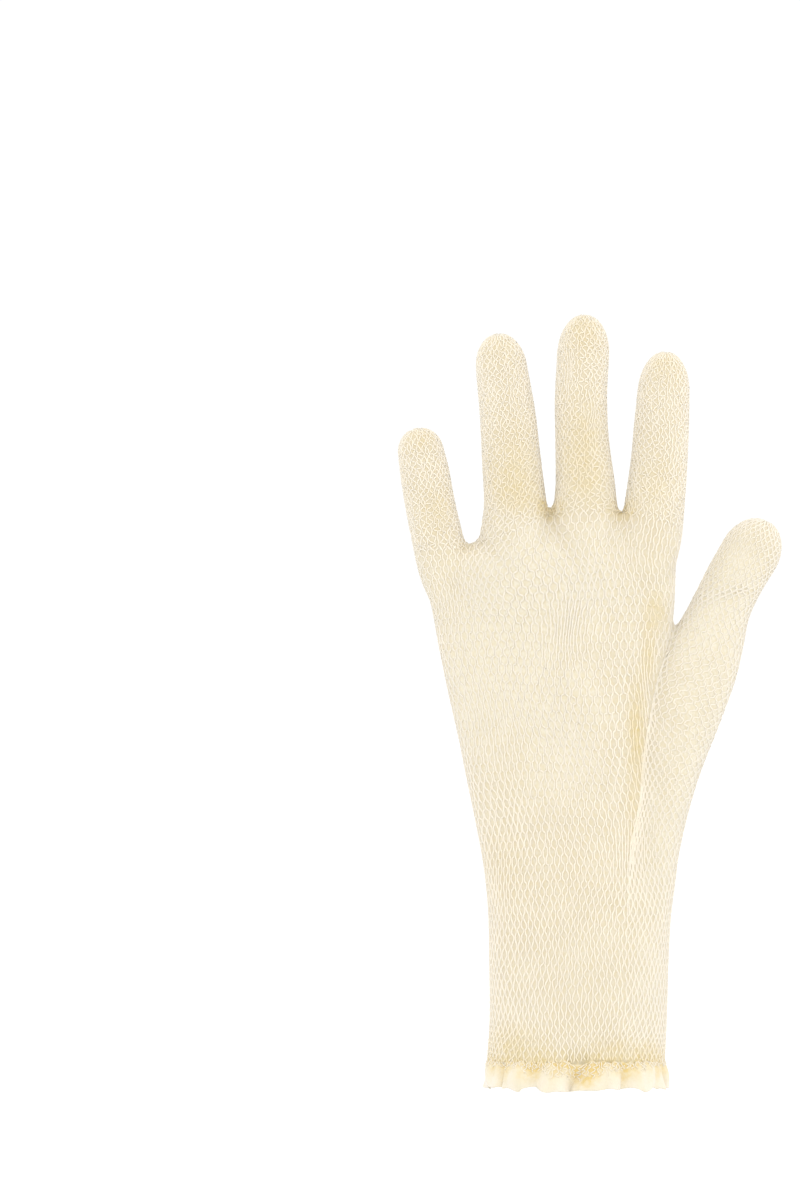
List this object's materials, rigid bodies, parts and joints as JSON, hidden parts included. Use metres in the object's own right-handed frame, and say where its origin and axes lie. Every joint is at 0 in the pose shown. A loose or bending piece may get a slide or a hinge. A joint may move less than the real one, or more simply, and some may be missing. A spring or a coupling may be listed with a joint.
{
  "type": "net glove",
  "caption": "Wrist-length cream net dress glove for one hand, filled out as worn, with open digits' hollows and a short gathered ruffle at the cuff.",
  "frame": {"origin": "centre of the wrist opening, in the plane of the ruffle's hem", "axes": "+Z from the wrist to the fingertips; +X towards the thumb; the back of the hand faces -Y and the palm +Y"},
  "size_m": [0.131, 0.0444, 0.2642],
  "materials": {
    "net_knit": "matte knitted cotton net",
    "ruffle_knit": "matte knitted cotton, gathered"
  },
  "bodies": {
    "root": {"hand": "net_knit", "thumb": "net_knit", "index_finger": "net_knit", "middle_finger": "net_knit", "ring_finger": "net_knit", "little_finger": "net_knit", "cuff_ruffle": "ruffle_knit"}
  },
  "joints": []
}
